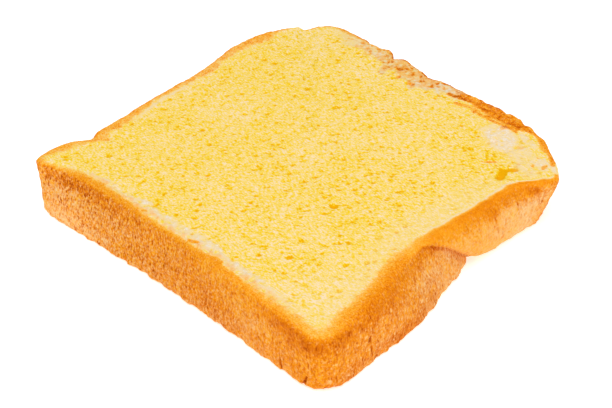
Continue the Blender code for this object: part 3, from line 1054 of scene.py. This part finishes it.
def crumb_slab(name, shape, sizes, face, radii, upward, material):
    """One face of crumb: a fine sheet inside the crust, its border turned down and closed at mid height."""
    piece = flat_grid(name, sizes.face_cells, sizes.face_cells)
    u, v = grid_places(piece)
    u = u * 2.0 - 1.0
    v = v * 2.0 - 1.0
    lip = sizes.lip / MM
    square = np.maximum(np.abs(u), np.abs(v))
    angle = np.arctan2(v, u)
    border = shape.at(radii - (lip - UNDER_LIP) * shape.lean, angle)
    radius = border * square
    x = HUB[0] + radius * np.cos(angle)
    y = HUB[1] + radius * np.sin(angle)
    masks = face(x, y)
    inside = shape.inside(x, y, radii)
    sink = SINK * ramp(inside, lip - 1.0, lip - UNDER_LIP)
    level = THICKNESS if upward else 0.0
    side = 1.0 if upward else -1.0
    place(piece, x, y, level + masks["height"] - side * sink)
    keep_masks(piece, masks)

    # The border is pulled down to mid height and drawn together, which closes the slab. Opening and
    # closing the piece first leaves nothing else of the fresh grid selected.
    edit(piece)
    close_edit()
    chosen = square > 1.0 - 0.5 / sizes.face_cells
    piece.data.vertices.foreach_set("select", chosen)
    for line in piece.data.edges:
        if chosen[line.vertices[0]] and chosen[line.vertices[1]]:
            line.select = True
    bpy.ops.object.mode_set(mode="EDIT")
    bpy.ops.mesh.select_mode(type="EDGE")
    for share_in, share_up in CLOSING_STEPS:
        bpy.ops.mesh.extrude_region_move(TRANSFORM_OT_translate={"value": (0.0, 0.0, 0.0)})
        bpy.ops.transform.resize(
            value=(share_in, share_in, share_up),
            center_override=(HUB[0] * MM, HUB[1] * MM, THICKNESS * 0.5 * MM),
            orient_type="GLOBAL",
        )
    bpy.ops.mesh.extrude_region_move(TRANSFORM_OT_translate={"value": (0.0, 0.0, 0.0)})
    bpy.ops.mesh.merge(type="CENTER")
    close_edit()
    planar_map(piece, sizes.face_cells)
    outward(piece)
    finish_piece(piece, material)
    return piece


# Metres that the flat map spans and where its middle lies, and the corner that the hidden sides share.
MAP_SPAN = 0.145
MAP_MIDDLE = 0.48
HIDDEN_CORNER = 0.985
HIDDEN_SHARE = 0.02


def planar_map(piece, cells):
    """A flat map of the face that shows. The hidden sides share one small corner of it."""
    mesh = piece.data
    layer = map_layer(mesh)
    flat = points_of(piece)[counted(mesh.loops, "vertex_index"), :2] / MAP_SPAN + MAP_MIDDLE
    hidden = np.arange(len(mesh.polygons)) >= cells * cells
    hidden_loops = np.repeat(hidden, counted(mesh.polygons, "loop_total"))
    flat[hidden_loops] = HIDDEN_CORNER + (flat[hidden_loops] - 0.5) * HIDDEN_SHARE
    layer.data.foreach_set("uv", flat.astype(np.float32).ravel())


# ---------------------------------------------------------------- the crust


# How much rounder than usual the lower edge is, as (place, value) stops along the heel and the fold side.
HEEL_LOWER_EDGE = ((-60, 0.4), (-30, 0.6), (-15, 1.0), (50, 1.0), (60, 1.7))
FOLD_LOWER_EDGE = (
    (-62, 1.7), (-54, 1.0), (-16, 1.1), (-6, 2.0), (9, 1.6), (14, 2.6), (24, 2.0), (38, 3.2), (46, 1.4),
)
# How far the tip of a lip dives into the crumb, and how far the rest of it stands above the face.
LIP_DIVE = 0.5
LIP_PROUD = 0.03
# Rows over each lip and round each rolled edge, upper first and counting the row where they meet, and
# how many times the radius of each edge is smoothed.
LIP_ROWS = (9, 7)
EDGE_ROWS = (8, 6)
EDGE_PASSES = (30, 20)


def edge_radius(shape, sizes):
    """Radius of the rolled top edge and of the lower edge for every column."""
    x = HUB[0] + shape.top * np.cos(shape.angles)
    y = HUB[1] + shape.top * np.sin(shape.angles)
    sides = sides_at(shape.angles)
    rest = sides["crown"] + sides["plain"]
    upper = sides["fold"] * sizes.fold_edge + sides["heel"] * sizes.soft_edge + rest * sizes.cut_edge
    full = sides["heel"] * along(x, HEEL_LOWER_EDGE) + rest
    full = full + sides["fold"] * along(y, FOLD_LOWER_EDGE)
    lower = full * sizes.lower_edge
    return rounded(upper / MM, EDGE_PASSES[0]), rounded(lower / MM, EDGE_PASSES[1])


def crust_sections(shape, sizes):
    """The section of the crust as rows of (inset, height), each with a value for every column.

    It runs from the tip of the upper lip over the rim, down the wall, under the lower edge
    to the tip of the lower lip, and back up inside the slice.
    """
    lip = sizes.lip / MM
    upper, lower = edge_radius(shape, sizes)
    rows = []

    def dive(inset):
        return LIP_DIVE * ramp(inset, lip - 1.0, lip) - LIP_PROUD

    for step in np.linspace(0.0, 1.0, LIP_ROWS[0])[:-1]:
        inset = mix(lip, upper, step)
        rows.append((inset, THICKNESS - dive(inset)))
    for turn in np.radians(np.linspace(0.0, 90.0, EDGE_ROWS[0])[:-1]):
        rows.append((upper * (1.0 - math.sin(turn)), THICKNESS - upper * (1.0 - math.cos(turn))))
    for step in np.linspace(0.0, 1.0, sizes.wall_rows):
        rows.append((0.0 * upper, mix(THICKNESS - upper, lower, step)))
    for turn in np.radians(np.linspace(90.0, 0.0, EDGE_ROWS[1])[1:]):
        rows.append((lower * (1.0 - math.sin(turn)), lower * (1.0 - math.cos(turn))))
    for step in np.linspace(0.0, 1.0, LIP_ROWS[1])[1:]:
        inset = mix(lower, lip, step)
        rows.append((inset, dive(inset)))
    narrowest = shape.radii.min(0)
    for z in (1.0, THICKNESS - 1.0):
        rows.append(((shape.wall(z) - narrowest) / shape.lean + lip, z + 0.0 * upper))
    rows.append(rows[0])
    return rows


def surface_normals(points):
    """Outward direction at each point of a wrapped grid, rows by columns."""
    round_ = np.roll(points, -1, 1) - np.roll(points, 1, 1)
    down = np.roll(points, -1, 0) - np.roll(points, 1, 0)
    normal = np.cross(down, round_)
    return normal / np.maximum(np.linalg.norm(normal, axis=-1, keepdims=True), 1e-9)


def crust_points(shape, sizes, pits, top, under):
    """Points of the crust, rows by columns, and the masks on them."""
    rows = crust_sections(shape, sizes)[:-1]
    inset = np.array([row[0] for row in rows])
    z = np.array([row[1] for row in rows])
    sides = sides_at(shape.angles)
    radius = np.array([shape.wall(row[1]) for row in rows]) - inset * shape.lean
    radius = radius + ragged_edge(shape, sides, inset, z)
    x = HUB[0] + radius * np.cos(shape.angles)
    y = HUB[1] + radius * np.sin(shape.angles)
    points = np.stack([x, y, z], -1)
    normal = surface_normals(points)

    angle = np.broadcast_to(shape.angles, x.shape)
    s = np.broadcast_to(shape.arc, x.shape)
    wall = crust_wall(shape, pits, angle, s, x, y, z)
    upper = top(x, y)
    lower = under(x, y)
    # The last two rows lie inside the slice, so they keep their places.
    on_top = ramp(z, THICKNESS - 1.9, THICKNESS - 0.4)
    on_bottom = ramp(z, 1.4, 0.3)
    seen = np.ones(x.shape)
    seen[-2:] = 0.0
    outward_share = (1.0 - on_top) * (1.0 - on_bottom) * seen
    points = points + normal * (wall["height"] * outward_share)[..., None]
    points[..., 2] += upper["height"] * on_top * seen + lower["height"] * on_bottom * seen
    masks = {}
    for name in MASKS:
        masks[name] = mix(mix(wall[name], upper[name], on_top), lower[name], on_bottom)
    return points, masks


def crust_ring(name, shape, sizes, pits, top, under, material):
    """The crust: a flat grid wrapped round the slice, closed on itself both ways."""
    points, masks = crust_points(shape, sizes, pits, top, under)
    rows, columns = points.shape[:2]
    piece = flat_grid(name, columns, rows)
    u, v = grid_places(piece)
    column = np.rint(u * columns).astype(int)
    row = np.rint(v * rows).astype(int)
    strip_map(piece, column, row, columns, rows)
    here = (row % rows, column % columns)
    place(piece, *np.moveaxis(points[here], -1, 0))
    keep_masks(piece, {key: mask[here] for key, mask in masks.items()})
    edit(piece)
    bpy.ops.mesh.select_all(action="SELECT")
    bpy.ops.mesh.remove_doubles(threshold=1e-6)
    close_edit()
    outward(piece)
    finish_piece(piece, material)
    return piece


STRIPS = 4


def strip_map(piece, column, row, columns, rows):
    """Lays the ring out flat in four strips, one above the other, with small margins."""
    layer = map_layer(piece.data)
    corners = counted(piece.data.loops, "vertex_index")
    columns_at = column[corners].reshape(-1, 4)
    rows_at = row[corners].reshape(-1, 4)
    strip = (columns_at.min(1) * STRIPS // columns)[:, None]
    start = strip * columns / STRIPS
    u = 0.01 + 0.98 * (columns_at - start) / (columns / STRIPS + 1.0)
    v = (strip + 0.03 + 0.94 * rows_at / rows) / STRIPS
    layer.data.foreach_set("uv", np.stack([u, v], -1).astype(np.float32).ravel())


# ---------------------------------------------------------------- the material


class Nodes:
    """A short way to lay out a material's nodes."""

    def __init__(self, material):
        material.use_nodes = True
        self.tree = material.node_tree
        self.tree.nodes.clear()
        self.step = 0

    def add(self, kind, **values):
        node = self.tree.nodes.new(kind)
        node.location = (self.step * 40, -self.step * 20)
        self.step += 1
        for key, value in values.items():
            setattr(node, key, value)
        return node

    def link(self, source, target):
        self.tree.links.new(source, target)

    def give(self, socket, value):
        if isinstance(value, bpy.types.NodeSocket):
            self.link(value, socket)
        else:
            socket.default_value = value

    def mask(self, name):
        return self.add("ShaderNodeAttribute", attribute_name=name).outputs["Fac"]

    def plus(self, a, b, clamp=False, operation="ADD"):
        node = self.add("ShaderNodeMath", operation=operation, use_clamp=clamp)
        self.give(node.inputs[0], a)
        self.give(node.inputs[1], b)
        return node.outputs[0]

    def times(self, a, b, clamp=False):
        return self.plus(a, b, clamp, "MULTIPLY")

    def scaled(self, value, factor, shift):
        node = self.add("ShaderNodeMath", operation="MULTIPLY_ADD")
        self.give(node.inputs[0], value)
        node.inputs[1].default_value = factor
        node.inputs[2].default_value = shift
        return node.outputs[0]

    def swing(self, noise, width):
        """Noise turned into a change that goes this far from end to end, with its middle at 0."""
        return self.scaled(noise, width, -0.5 * width)

    def blend(self, factor, a, b, blend_type="MIX"):
        node = self.add("ShaderNodeMix", data_type="RGBA", blend_type=blend_type, clamp_factor=True)
        self.give(node.inputs[0], factor)
        self.give(node.inputs[6], a)
        self.give(node.inputs[7], b)
        return node.outputs[2]

    def mapped(self, vector, scale, turn=0.0):
        """The same places stretched by the scale, after a turn in degrees round the upright axis."""
        node = self.add("ShaderNodeMapping", vector_type="POINT")
        self.link(vector, node.inputs["Vector"])
        node.inputs["Rotation"].default_value = (0.0, 0.0, math.radians(turn))
        node.inputs["Scale"].default_value = scale
        return node.outputs["Vector"]

    def span(self, value, start, end, kind="LINEAR"):
        """0 at start and 1 at end."""
        node = self.add("ShaderNodeMapRange", interpolation_type=kind)
        self.link(value, node.inputs["Value"])
        node.inputs["From Min"].default_value = start
        node.inputs["From Max"].default_value = end
        return node.outputs["Result"]

    def steps(self, value, stops):
        """A colour ramp with (place, colour) stops."""
        node = self.add("ShaderNodeValToRGB")
        elements = node.color_ramp.elements
        elements[0].position, elements[0].color = stops[0][0], (*stops[0][1], 1.0)
        elements[1].position, elements[1].color = stops[-1][0], (*stops[-1][1], 1.0)
        for position, colour in stops[1:-1]:
            elements.new(position).color = (*colour, 1.0)
        self.give(node.inputs[0], value)
        return node.outputs[0]

    def noise(self, vector, cell, detail=2.0, roughness=0.55):
        """Noise on cells of this many millimetres."""
        node = self.add("ShaderNodeTexNoise")
        self.give(node.inputs["Vector"], vector)
        node.inputs["Scale"].default_value = 1.0 / (cell * MM)
        node.inputs["Detail"].default_value = detail
        node.inputs["Roughness"].default_value = roughness
        return node.outputs["Fac"]


# The way that the knife drew the crumb, in degrees.
KNIFE_TURN = -43.5


def bread_material(name, colours):
    """Crumb, butter and crust in one finish, told apart by the masks on the mesh."""
    material = bpy.data.materials.new(name)
    nodes = Nodes(material)
    here = nodes.add("ShaderNodeTexCoord").outputs["Object"]
    upright = nodes.mapped(here, (1.0, 1.0, 0.3))
    drawn = nodes.mapped(here, (0.6, 1.0, 1.0), KNIFE_TURN)
    bake, butter, dry, pit, coarse, tan = (
        nodes.mask(mask) for mask in ("bake", "butter", "dry", "pit", "grain", "tan")
    )
    specks = nodes.noise(drawn, 0.57, 1.0, 0.6)
    flecks = nodes.noise(drawn, 1.2, 2.0, 0.55)
    streaks = nodes.noise(upright, 0.45, 2.0, 0.6)
    freckles = nodes.noise(here, 0.60, 1.0, 0.6)
    glints = nodes.noise(here, 0.80, 1.0, 0.7)

    # Crumb: cream where it stands proud, yellow where butter fills it, deep yellow in the holes.
    wet = nodes.plus(butter, nodes.swing(specks, 2.7))
    wet = nodes.plus(wet, nodes.swing(flecks, 1.0))
    wet = nodes.plus(wet, nodes.scaled(pit, 0.80, -0.06))
    wet = nodes.scaled(wet, 0.6, 0.2)
    crumb_shades = (
        (0.13, colours.cream),
        (0.47, colours.crumb),
        (0.72, colours.butter),
        (0.87, colours.pooled),
        (1.0, colours.deep),
    )
    crumb = nodes.steps(wet, crumb_shades)
    dryness = nodes.plus(dry, nodes.times(dry, nodes.swing(flecks, 2.4)), clamp=True)
    whiter = nodes.plus(nodes.scaled(specks, 4.0, -1.9), nodes.scaled(dry, 0.3, 0.0))
    bare = nodes.blend(whiter, (*colours.dry, 1.0), (*colours.white, 1.0))
    crumb = nodes.blend(dryness, crumb, bare)

    # Crust: the bake mask picks the shade, with upright streaks, freckles and pale flecks on it.
    shade = nodes.plus(nodes.swing(streaks, 1.4), nodes.swing(freckles, 0.5))
    shade = nodes.plus(bake, nodes.times(shade, coarse), clamp=True)
    crust_shades = (
        (0.04, colours.straw),
        (0.20, colours.amber),
        (0.38, colours.golden),
        (0.54, colours.orange),
        (0.70, colours.russet),
        (0.85, colours.brown),
        (1.0, colours.dark),
    )
    crust = nodes.steps(shade, crust_shades)
    fleck_size = nodes.scaled(coarse, 1.6, 0.7)
    pale = nodes.plus(dry, nodes.times(fleck_size, nodes.swing(glints, 1.0)))
    pale = nodes.plus(pale, -0.13)
    pale = nodes.times(pale, nodes.span(shade, 0.85, 0.45), clamp=True)
    crust = nodes.blend(pale, crust, (*colours.peach, 1.0))
    baked = nodes.plus(bake, nodes.swing(specks, 0.12))
    colour = nodes.blend(nodes.span(baked, 0.03, 0.24, "SMOOTHSTEP"), crumb, crust)
    colour = nodes.blend(tan, colour, (*colours.tan, 1.0), "MULTIPLY")

    shader = nodes.add("ShaderNodeBsdfPrincipled")
    shader.inputs["Roughness"].default_value = ROUGHNESS
    shader.inputs["Specular IOR Level"].default_value = 0.02
    nodes.link(colour, shader.inputs["Base Color"])
    grain = nodes.add("ShaderNodeBump")
    grain.inputs["Strength"].default_value = 0.55
    grain.inputs["Distance"].default_value = 0.0003
    nodes.link(nodes.plus(specks, freckles), grain.inputs["Height"])
    nodes.link(grain.outputs["Normal"], shader.inputs["Normal"])
    output = nodes.add("ShaderNodeOutputMaterial")
    nodes.link(shader.outputs["BSDF"], output.inputs["Surface"])
    return material


# ---------------------------------------------------------------- stage


def floor(stage):
    """A plain pale floor under the slice."""
    deselect()
    bpy.ops.mesh.primitive_plane_add(size=stage.floor_size, location=(0.0, 0.0, 0.0))
    piece = bpy.context.active_object
    piece.name = "floor"
    material = bpy.data.materials.new("pale_floor")
    material.use_nodes = True
    shader = material.node_tree.nodes["Principled BSDF"]
    shader.inputs["Base Color"].default_value = (*stage.floor_colour, 1.0)
    shader.inputs["Roughness"].default_value = 0.9
    shader.inputs["Specular IOR Level"].default_value = 0.0
    shader.inputs["Emission Color"].default_value = (1.0, 1.0, 1.0, 1.0)
    shader.inputs["Emission Strength"].default_value = stage.floor_glow
    piece.data.materials.append(material)


def toward(azimuth, elevation):
    """Direction from the slice to something at these angles, in degrees."""
    turn, tilt = math.radians(azimuth), math.radians(elevation)
    return Vector((math.cos(tilt) * math.cos(turn), math.cos(tilt) * math.sin(turn), math.sin(tilt)))


def soft_light(name, azimuth, elevation, power):
    """A square light that looks at the slice."""
    out = toward(azimuth, elevation)
    bpy.ops.object.light_add(type="AREA", location=out * LIGHT_DISTANCE)
    light = bpy.context.active_object
    light.name = name
    light.rotation_euler = out.to_track_quat("Z", "Y").to_euler()
    light.data.size = LIGHT_SIDE
    light.data.energy = power


def camera(stage):
    """The camera, which looks at the middle of the slice."""
    out = toward(stage.azimuth, stage.elevation)
    bpy.ops.object.camera_add(location=Vector(CAMERA_TARGET) + out * stage.distance)
    view = bpy.context.active_object
    view.name = "camera"
    view.rotation_euler = out.to_track_quat("Z", "Y").to_euler()
    view.data.lens = stage.lens
    view.data.sensor_width = SENSOR_WIDTH
    view.data.clip_start = NEAREST_VIEW
    bpy.context.scene.camera = view


def surround(stage):
    """An even white surround."""
    world = bpy.data.worlds.new("surround")
    bpy.context.scene.world = world
    world.use_nodes = True
    back = world.node_tree.nodes["Background"]
    back.inputs["Color"].default_value = (1.0, 1.0, 1.0, 1.0)
    back.inputs["Strength"].default_value = stage.sky


# ---------------------------------------------------------------- operators and panel

made = {}


def slice_shape(sizes):
    """The slice's outline, measured once."""
    if "shape" not in made:
        made["shape"] = Slice(sizes.ring_columns)
        made["top_pores"] = face_relief(11, sizes, True)
        made["under_pores"] = face_relief(21, sizes, False)
        made["crust_pits"] = crust_relief(made["shape"], sizes)
    return made["shape"]


def top_of(shape):
    return lambda x, y: buttered_face(shape, made["top_pores"], x, y)


def under_of(shape):
    return lambda x, y: plain_face(shape, made["under_pores"], x, y)


class BREAD_OT_crumb(bpy.types.Operator):
    """Lays the buttered face and the plain face of crumb inside the crust"""

    bl_idname = "bread.crumb"
    bl_label = "Add Crumb"

    def execute(self, context):
        sizes, colours = context.scene.bread_sizes, context.scene.bread_colours
        shape = slice_shape(sizes)
        material = bread_material("buttered_crumb", colours)
        crumb_slab("crumb_buttered", shape, sizes, top_of(shape), shape.top, True, material)
        crumb_slab("crumb_under", shape, sizes, under_of(shape), shape.bottom, False, material)
        return {"FINISHED"}


class BREAD_OT_crust(bpy.types.Operator):
    """Wraps the baked crust round the slice"""

    bl_idname = "bread.crust"
    bl_label = "Add Crust"

    def execute(self, context):
        sizes, colours = context.scene.bread_sizes, context.scene.bread_colours
        shape = slice_shape(sizes)
        material = bread_material("baked_crust", colours)
        crust_ring("crust", shape, sizes, made["crust_pits"], top_of(shape), under_of(shape), material)
        return {"FINISHED"}


class BREAD_OT_stage(bpy.types.Operator):
    """Adds the floor, the lights and the camera"""

    bl_idname = "bread.stage"
    bl_label = "Add Stage"

    def execute(self, context):
        stage = context.scene.bread_stage
        floor(stage)
        surround(stage)
        soft_light("key_light", *KEY_PLACE, stage.key_power)
        soft_light("fill_light", *FILL_PLACE, stage.fill_power)
        camera(stage)
        context.scene.view_settings.view_transform = "Standard"
        return {"FINISHED"}


class BREAD_PT_panel(bpy.types.Panel):
    """Steps that build the slice, and their settings"""

    bl_idname = "BREAD_PT_panel"
    bl_label = "Buttered Bread Slice"
    bl_space_type = "VIEW_3D"
    bl_region_type = "UI"
    bl_category = "Bread"

    def draw(self, context):
        for operator in OPERATORS:
            self.layout.operator(operator.bl_idname)
        for group in (context.scene.bread_sizes, context.scene.bread_colours, context.scene.bread_stage):
            box = self.layout.box()
            for key in group.__annotations__:
                box.prop(group, key)


GROUPS = {"bread_sizes": BreadSizes, "bread_colours": BreadColours, "bread_stage": StageSizes}
OPERATORS = (BREAD_OT_crumb, BREAD_OT_crust, BREAD_OT_stage)


def register():
    for group in (*GROUPS.values(), *OPERATORS, BREAD_PT_panel):
        bpy.utils.register_class(group)
    for name, group in GROUPS.items():
        setattr(bpy.types.Scene, name, PointerProperty(type=group))


def unregister():
    for name in GROUPS:
        delattr(bpy.types.Scene, name)
    for group in reversed((*GROUPS.values(), *OPERATORS, BREAD_PT_panel)):
        bpy.utils.unregister_class(group)


def corners(box):
    return [[round(value, 6) for value in corner] for corner in box]


def main():
    register()
    bpy.ops.bread.crumb()
    bpy.ops.bread.crust()
    bpy.ops.bread.stage()


if __name__ == "__main__":
    main()
